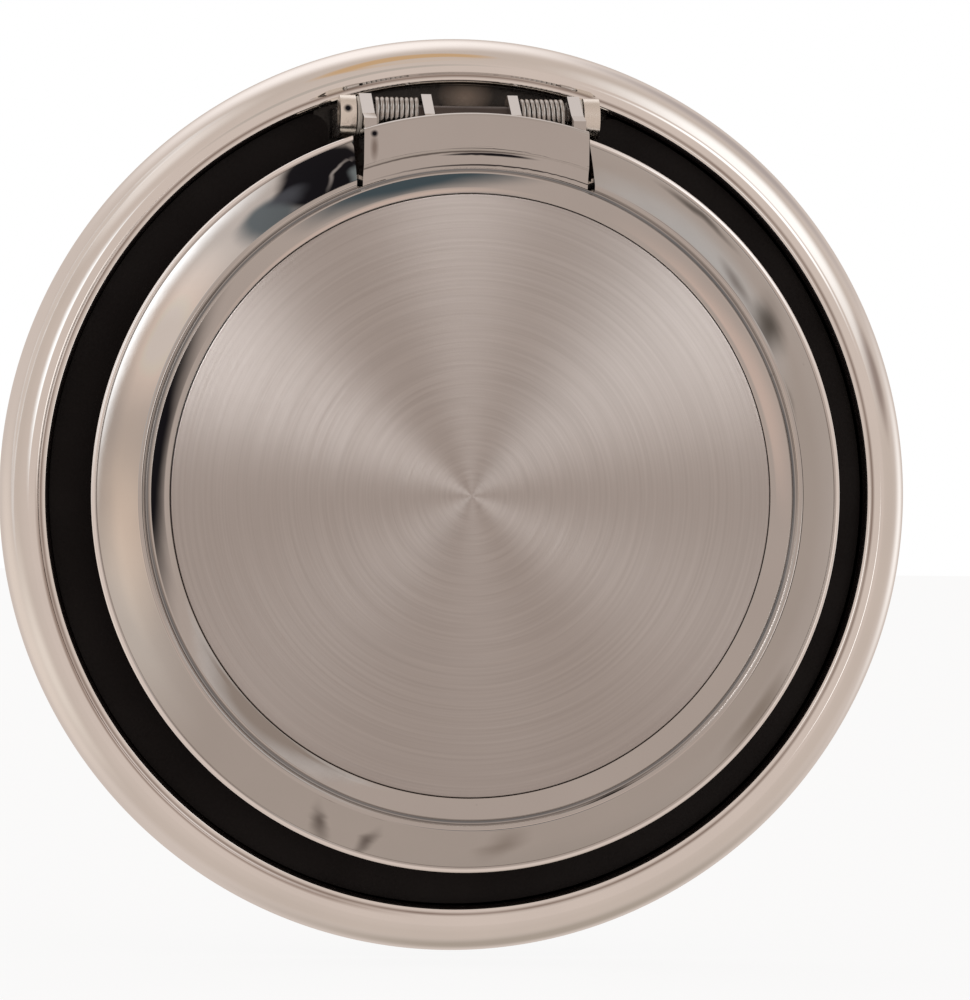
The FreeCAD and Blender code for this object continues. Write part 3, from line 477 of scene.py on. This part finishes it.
def plain(name, colour, metallic, rough, grain=1500, depth=0.00002, shine=0.5, paint_below=None):
    """A surface with fine grain, uneven shine and slight variation of tone.

    With paint_below it is painted dark brown up to that height above the panel, with a painted highlight
    behind the hinge on its front side, and one ear carries a small dark mark.
    """
    shade = Shade(name)
    where = shade.position()
    patch = shade.noise(where, 90, 4)
    fine = shade.noise(where, grain, 3, 0.6)
    dark = tuple(c * 0.88 for c in colour)
    tone = shade.mix(shade.remap(patch, 0.3, 0.7, 0, 1), colour, dark)
    dull = shade.remap(shade.math("ADD", patch, fine), 0.7, 1.3, rough * 0.8, rough * 1.25)
    if paint_below:
        outward = shade.node("SeparateXYZ", {"Vector": where}).outputs["Y"]
        edge = shade.math("ADD", outward, shade.math("MULTIPLY", patch, 0.0006))
        painted = shade.remap(edge, -paint_below * MM, (0.4 - paint_below) * MM, 0.0, 1.0)
        tone = shade.mix(painted, tone, (0.020, 0.013, 0.010))
        metallic = shade.math("SUBTRACT", 1.0, painted)
        # Painted highlight: behind the hinge, on the front side only, the paint turns a little lighter and
        # tan at the centre.
        window = Vector((1.0, -0.8, 55.8))
        painted_highlight = shade.spot(tone, window, 9.0, (0.030, 0.020, 0.014), (1.0, 1.0, 1.4))
        painted_highlight = shade.spot(painted_highlight, window, 4.2, (0.72, 0.59, 0.49), (1.0, 1.0, 1.5), 0.2)
        tone = shade.mix(shade.remap(outward, -0.6 * MM, -0.3 * MM, 1.0, 0.0), tone, painted_highlight)
        tone = shade.spot(tone, Vector((-17.0, -14.6, 53.0)), 0.85, BLACK, (1.0, 1.0, 1.0))
    return shade.surface(Base_Color=tone, Metallic=metallic, Roughness=dull,
                         Specular_IOR_Level=shine, Normal=shade.bump(fine, depth))


# Places and reaches of windows in the surroundings, as the first four values of a card. The chrome mirrors
# them, and also carries painted reflections of them in its colour, with its own tint for each.
HIGH_WINDOW = (40, 78, 34, 26)
LEFT_WINDOW = (152, 99, 42, 9)
UPPER_LEFT_WINDOW = (155, 56, 26, 11)
UPPER_WINDOW = (38, 40, 15, 19)
GLINT = (346, 27, 8, 3)

# One chrome plating in two tones: lighter on the bezel, darker on the lid and hinge tab, as painted light and
# shade.
BEZEL_TONE = (0.97, 0.95, 0.93)
LID_TONE = (0.62, 0.60, 0.585)
BLACK = (0.012, 0.012, 0.016)
# Painted reflections in the bezel's colour: cards that tint it by mirrored direction.
BEZEL_PAINTED_REFLECTIONS = (
    Card(98, 46, 20, 20, (0.72, 0.73, 0.71)),
    Card(91, 82, 14, 12, (0.95, 0.72, 0.45), 0.4),
    Card(88, 76, 11, 6, (0.95, 0.90, 0.84), 0.5),
    Card(14, 92, 9, 20, (0.52, 0.47, 0.46), 0.8),
    Card(*LEFT_WINDOW, (0.455, 0.385, 0.34), 0.5),
)
# Painted reflections and highlights in the lid's colour: pale, dark, black and bluish cards by mirrored
# direction.
LID_PAINTED_REFLECTIONS = (
    Card(150, 82, 24, 18, (1.20, 1.11, 1.05), 1.0),
    Card(186, 82, 26, 16, (0.98, 0.90, 0.82), 1.0),
    Card(*LEFT_WINDOW, (1.0, 1.0, 1.0), 0.5),
    Card(*HIGH_WINDOW, (0.335, 0.33, 0.325), 0.8),
    Card(*UPPER_WINDOW, (0.20, 0.163, 0.14), 0.6),
    Card(*GLINT, (1.0, 1.0, 1.0), 0.5),
    Card(*UPPER_LEFT_WINDOW, (0.33, 0.32, 0.31), 0.6),
    Card(352, 57, 28, 14, BLACK, 0.6),
    Card(289, 50, 21, 11, (0.08, 0.125, 0.155), 0.6),
    Card(215, 32, 26, 9, (0.82, 0.73, 0.69), 0.8),
    Card(305, 32, 22, 9, (0.82, 0.74, 0.70), 0.8),
    Card(121, 83, 9, 9, (0.14, 0.17, 0.19), 0.6),
    Card(108, 88, 11, 13, BLACK, 0.25),
    Card(116, 86, 5, 5, (0.08, 0.09, 0.11), 0.8, 20),
    Card(101.5, 87, 2.6, 12, (0.26, 0.33, 0.37), 0.5, -18),
    Card(106.5, 87, 0.8, 9, (0.42, 0.42, 0.43), 0.9, -30),
    Card(26, 94, 6, 14, (0.13, 0.12, 0.11), 1.0, 10),
    Card(16, 90, 7, 2.5, (0.24, 0.23, 0.22), 1.0, 14),
    Card(34, 92, 6, 2.5, (0.24, 0.22, 0.21), 1.0, -12),
    Card(45, 103, 10, 1.6, (0.20, 0.19, 0.18), 0.9, 3),
    Card(328, 105, 10, 7, (0.38, 0.35, 0.32), 1.0),
    Card(283, 92, 5, 9, (0.42, 0.39, 0.37), 1.0, -20),
    Card(252.5, 92, 2.2, 11, (0.24, 0.22, 0.21), 1.0, 12),
    Card(261, 94, 1.8, 10, (0.24, 0.22, 0.21), 1.0, -8),
    Card(257.5, 104, 4, 1.4, (0.30, 0.28, 0.26), 1.0),
)
# Painted reflections in the hinge tab's colour: dark bands by mirrored direction.
TAB_PAINTED_REFLECTIONS = (
    Card(279, 56, 35, 2.2, (0.20, 0.185, 0.175), 0.7),
    Card(277, 50, 7, 5, BLACK, 0.5),
    Card(277, 26, 14, 1.6, (0.06, 0.055, 0.055), 0.6),
    Card(268, 14, 24, 1.2, (0.20, 0.185, 0.175), 0.7),
)
# Painted shade along the bezel's groove and, as an arc, over the lower left of its shoulder; painted shade
# along the lid's groove.
BEZEL_PAINTED_SHADE = ((58.15, 0.34, (0.34, 0.28, 0.25)), (58.62, 0.42, (0.46, 0.395, 0.36), 219, 46))
LID_PAINTED_SHADE = ((44.62, 0.27, (0.13, 0.15, 0.17)),)
chrome_bezel = chrome("chrome_bezel", BEZEL_TONE, BEZEL_PAINTED_REFLECTIONS, BEZEL_PAINTED_SHADE, black_wall=(57.0, 6.1))
chrome_lid = chrome("chrome_lid", LID_TONE, LID_PAINTED_REFLECTIONS, LID_PAINTED_SHADE, painted_edge_highlight=LID - 0.6, pits=0.04)
chrome_tab = chrome("chrome_tab", LID_TONE, TAB_PAINTED_REFLECTIONS, dark_mark=Vector((-14.1, 0, 49.3)))
disc_metal = brushed_disc("disc_metal")
black_plastic = plain("black_plastic", (0.005, 0.003, 0.0033), 0.0, 0.5, 2500, 0.00002, shine=0.2)
rubber = plain("rubber", (0.018, 0.018, 0.018), 0.0, 0.65, 1800, 0.00003)
cast_alloy = plain("cast_alloy", (0.62, 0.60, 0.57), 1.0, 0.30, 1400, 0.00003)
housing = plain("housing", (0.92, 0.88, 0.82), 1.0, 0.25, 1400, 0.00003, paint_below=4.5)
machined = plain("machined", (0.70, 0.69, 0.68), 1.0, 0.25, 2600, 0.00001)
steel = plain("steel", (0.58, 0.57, 0.56), 1.0, 0.22, 2200, 0.00001)
dark_steel = plain("dark_steel", (0.10, 0.085, 0.08), 1.0, 0.3, 2200, 0.00001)
wire_steel = plain("wire_steel", (0.52, 0.50, 0.48), 1.0, 0.20, 2600, 0.00001)
pressed = plain("pressed", (0.56, 0.56, 0.55), 1.0, 0.32, 1200, 0.00002)
brass = plain("brass", (0.70, 0.52, 0.26), 1.0, 0.22, 2000, 0.00001)
nylon = plain("nylon", (0.75, 0.74, 0.70), 0.0, 0.45, 2000, 0.00001)

CAD_SHARP = 28
FINISHES = {
    "base_housing": housing, "channel_surround": black_plastic, "rim_seal": rubber,
    "panel_gasket": rubber, "neck_gasket": rubber, "seat_ring": brass, "bezel_screws": steel,
    "hinge_pin": dark_steel, "ring_retainer": pressed, "retainer_screws": steel,
    "latch_guide": cast_alloy, "latch_guide_screws": steel, "hinge_arm": chrome_tab,
    "hinge_rivets": steel, "hinge_bushes": nylon, "latch_striker": pressed, "striker_rivets": steel,
    "seal_stud": steel, "seal_plate": pressed, "seal_ring": rubber, "latch_bolt": brass,
    "lock_ring": machined,
}
for name, finish in FINISHES.items():
    node = nodes[name]
    node.data.materials.clear()
    node.data.materials.append(finish)
    smooth(node, CAD_SHARP)


# ---------------------------------------------------------------------- pieces

def outer_bezel():
    """The wide convex ring, with a shallow groove inside its crest and a gap in its flange for the hinge."""
    outline = bent([
        (49.0, 0.8), (58.6, 0.8), (58.6, 4.7, -2.9), (61.2, 2.0), (62.1, 2.0), (62.1, 0.8),
        (OUTER, 0.8), (OUTER, 1.6, 7.5), (59.9, 6.75, 1.6), (58.4, 6.86), (58.15, 6.81),
        (57.85, 6.82, 0.55), (57.15, 6.3), (57.0, 6.1), (57.0, 2.8), (49.0, 2.8),
    ])
    bezel = turned("outer_bezel_shell", eased(outline, 0.15), "base", chrome_bezel, ["outer_bezel"])
    ring = [Vector((40, 0.7)), Vector((56.98, 0.7)), Vector((56.98, 2.85)), Vector((40, 2.85))]
    carve(bezel, kept_part(turned_mesh("notch", ring), (-20.5 * MM, -0.03, 0.03), (20.5 * MM, 0.0, 0.08)))
    smooth(bezel)


def lid_rim():
    """The conical lid with its beaded edge and groove, notched for the hinge block."""
    bead = 0.5
    edge = LID_UNDER + bead
    outline = bent([
        (0, 18.1), (2.0, 18.1), (2.0, 14.5), (5.0, 14.5), (5.0, 17.2), (44.9, 17.2), (44.9, 14.8),
        (46.3, 14.8), (46.3, 17.6), (LID - 1.8 * bead, LID_UNDER), (LID - bead, LID_UNDER, bead),
        (LID, edge, bead), (LID - 1.5 * bead, LID_UNDER + 1.866 * bead, 34.0),
        (46.0, 20.95, 0.55), (45.15, 20.95), (44.85, 20.5), (44.5, 20.5), (44.25, 20.85),
        (42.3, 19.95), (DISC + 0.1, 19.75), (DISC + 0.1, DISC_BOTTOM), (0, DISC_BOTTOM),
    ])
    rim = turned("lid_rim_shell", eased(outline, 0.2), "lid", chrome_lid, ["lid_rim"])
    half = NOTCH_HALF * MM
    ring = [Vector((44.8, 13)), Vector((70, 13)), Vector((70, 25)), Vector((44.8, 25))]
    carve(rim, kept_part(turned_mesh("notch", ring), (-half, -0.03, 0.03), (half, -0.01, 0.08)))
    smooth(rim)


def lid_disc():
    """The brushed disc let into the lid."""
    outline = [Vector((0, DISC_BOTTOM)), Vector((DISC, DISC_BOTTOM)), Vector((DISC, DISC_TOP)),
               Vector((0, DISC_TOP))]
    return turned("lid_disc_face", eased(outline, 0.15), "lid", disc_metal, ["lid_disc"])


def hinge_springs():
    """Two torsion coils, each between its standing leg on the base and its arm on the lid."""
    coil, wire, inner, outer, turns = 2.3 * MM, 0.3 * MM, 7.3 * MM, 12.9 * MM, 8.25
    steps = 264
    for side, label in ((1, "right"), (-1, "left")):
        path = []
        for height in (0.85, 6.0, 10.5):
            path.append(Vector((side * inner, -height * MM, PIN_AT.z + coil)))
        for step in range(steps + 1):
            angle = turns * math.tau * step / steps
            along = inner + (outer - inner) * step / steps
            path.append(PIN_AT + Vector((side * along, -coil * math.sin(angle), coil * math.cos(angle))))
        for reach in (1.5, 3.5, 6.0):
            path.append(PIN_AT + Vector((side * outer, -coil, -reach * MM)))
        name = f"hinge_spring_{label}"
        spring = new_piece(name, tube_mesh(name, path, wire), None, wire_steel)
        smooth(spring)
        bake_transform(spring)
        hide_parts("hinge_springs")


def small_springs():
    """The seal's conical coil and the catch's coil, each between its two bodies."""
    top, bottom, narrow, wide, wire, turns = 16.68, 12.52, 6.6, 13.0, 0.5, 3.5
    path = []
    steps = 200
    for step in range(steps + 1):
        share = step / steps
        angle = turns * math.tau * share
        radius = (narrow + (wide - narrow) * share) * MM
        height = top + (bottom - top) * share
        path.append(Vector((radius * math.cos(angle), -height * MM, -radius * math.sin(angle))))
    name = "seal_spring_coil"
    spring = new_piece(name, tube_mesh(name, path, wire * MM), None, wire_steel)
    smooth(spring)
    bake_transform(spring)
    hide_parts("seal_spring")
    back, front, height, radius, wire, turns = -26.4, -31.0, 4.6, 0.95, 0.18, 6
    path = []
    for step in range(steps + 1):
        share = step / steps
        angle = turns * math.tau * share
        along = back + (front - back) * share
        path.append(Vector((radius * math.cos(angle), -height - radius * math.sin(angle), along)) * MM)
    name = "latch_spring_coil"
    spring = new_piece(name, tube_mesh(name, path, wire * MM, 8), None, wire_steel)
    smooth(spring)
    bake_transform(spring)
    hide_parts("latch_spring")


outer_bezel()
lid_rim()
disc_piece = lid_disc()
hinge_springs()
small_springs()


# ----------------------------------------------------------------------- stage

FANS = ((27, 45, 13, 5.0), (84, 46, 10, 8.0), (147, 46, 14, 11.5))


def studio_world():
    """Soft warm surroundings with cards and windows, plain white to the camera."""
    world = bpy.data.worlds.new("studio")
    bpy.context.scene.world = world
    world.use_nodes = True
    helper = Shade.on(world.node_tree)
    aim = helper.node("TexCoord").outputs["Generated"]
    facing = helper.dot(aim, (0.0, -1.0, 0.0))
    front, side, back = (0.62, 0.525, 0.47), (0.56, 0.475, 0.42), (0.62, 0.535, 0.485)
    colour = helper.mix(helper.remap(facing, 0.15, 0.6, 0.0, 1.0), side, front)
    colour = helper.mix(helper.remap(facing, -0.4, -0.1, 1.0, 0.0), colour, back)
    cards = (
        Card(94, 128, 40, 34, (1.02, 0.94, 0.90), 0.8),
        Card(357, 128, 22, 24, (1.02, 0.96, 0.92), 1.0),
        Card(200, 120, 34, 30, (0.74, 0.64, 0.57), 0.8),
        Card(290, 122, 46, 30, (0.40, 0.34, 0.29), 0.8),
        Card(45, 125, 24, 22, (0.44, 0.38, 0.36), 0.8),
        Card(128, 88, 22, 22, (0.80, 0.72, 0.67), 0.8),
        Card(205, 92, 26, 22, (0.76, 0.67, 0.60), 0.9),
        Card(*HIGH_WINDOW, (1.13, 1.09, 1.06), 0.8),
        Card(*LEFT_WINDOW, (1.3, 1.3, 1.3), 0.5),
        Card(*UPPER_LEFT_WINDOW, (1.15, 1.15, 1.15), 0.6),
        Card(*UPPER_WINDOW, (1.25, 1.22, 1.2), 0.6),
        Card(*GLINT, (1.5, 1.45, 1.4), 0.5),
    )
    colour = helper.cards(aim, colour, cards)
    seen = helper.node("LightPath").outputs["Is Camera Ray"]
    colour = helper.mix(seen, colour, (1.0, 1.0, 1.0))
    background = helper.node("Background", {"Color": colour, "Strength": 1.0})
    helper.node("OutputWorld", {"Surface": background.outputs[0]})


def fan_lights(disc):
    """Three soft panels that light only the brushed disc and open its fans of light."""
    only = bpy.data.collections.new("disc_only")
    only.objects.link(disc)
    distance = 0.8
    for number, (phi, off, reach, strength) in enumerate(FANS):
        lamp = bpy.data.lights.new(f"fan_{number}", "AREA")
        lamp.shape = "DISK"
        lamp.size = 2 * distance * math.tan(math.radians(reach))
        lamp.energy = strength * lamp.size**2
        panel = bpy.data.objects.new(f"fan_{number}", lamp)
        aim = direction(phi, off)
        panel.location = aim * distance
        panel.rotation_mode = "QUATERNION"
        panel.rotation_quaternion = (-aim).to_track_quat("-Z", "Y")
        panel.light_linking.receiver_collection = only
        panel.visible_camera = False
        bpy.context.scene.collection.objects.link(panel)


def floor():
    """A pale floor under the cap, clear from below so that the underside can be seen."""
    work = bmesh.new()
    bmesh.ops.create_grid(work, x_segments=1, y_segments=1, size=3.0)
    for vert in work.verts:
        vert.co.z = cad_box[0].z - 0.001
    data = bpy.data.meshes.new("floor")
    work.to_mesh(data)
    work.free()
    shade = Shade("floor_white")
    pale = shade.node("BsdfDiffuse", {"Color": (0.85, 0.84, 0.83)})
    glow = shade.node("Emission", {"Color": (1.0, 1.0, 1.0), "Strength": 1.0})
    path = shade.node("LightPath").outputs["Is Camera Ray"]
    share = shade.math("MULTIPLY", path, 0.9)
    top = shade.node("MixShader", {0: share, 1: pale.outputs[0], 2: glow.outputs[0]})
    clear = shade.node("BsdfTransparent")
    under = shade.node("NewGeometry").outputs["Backfacing"]
    mixed = shade.node("MixShader", {0: under, 1: top.outputs[0], 2: clear.outputs[0]})
    shade.node("OutputMaterial", {"Surface": mixed.outputs[0]})
    plane = bpy.data.objects.new("floor", data)
    plane.data.materials.append(shade.material)
    plane.visible_glossy = False
    bpy.context.scene.collection.objects.link(plane)


def camera():
    """Looks almost straight at the cap, a little from its left."""
    sensor, cap_share = 36, 0.9095
    lens_data = bpy.data.cameras.new("camera")
    lens_data.sensor_width = sensor
    eye = bpy.data.objects.new("camera", lens_data)
    bpy.context.scene.collection.objects.link(eye)
    azimuth, elevation, distance = math.radians(-7.3), math.radians(0.4), 1.0
    back = Vector((math.sin(azimuth) * math.cos(elevation), -math.cos(azimuth) * math.cos(elevation),
                   math.sin(elevation)))
    eye.location = back * distance
    eye.rotation_mode = "QUATERNION"
    roll = Quaternion((0, 0, 1), math.radians(0.6))
    eye.rotation_quaternion = (-back).to_track_quat("-Z", "Y") @ roll
    across = 2 * OUTER * MM
    lens_data.lens = sensor * distance * cap_share / across
    lens_data.shift_x = 0.0316
    lens_data.shift_y = -0.0053
    lens_data.clip_start = 0.01
    lens_data.clip_end = 50
    bpy.context.scene.camera = eye


studio_world()
fan_lights(disc_piece)
floor()
camera()
bpy.context.scene.view_settings.view_transform = "Standard"
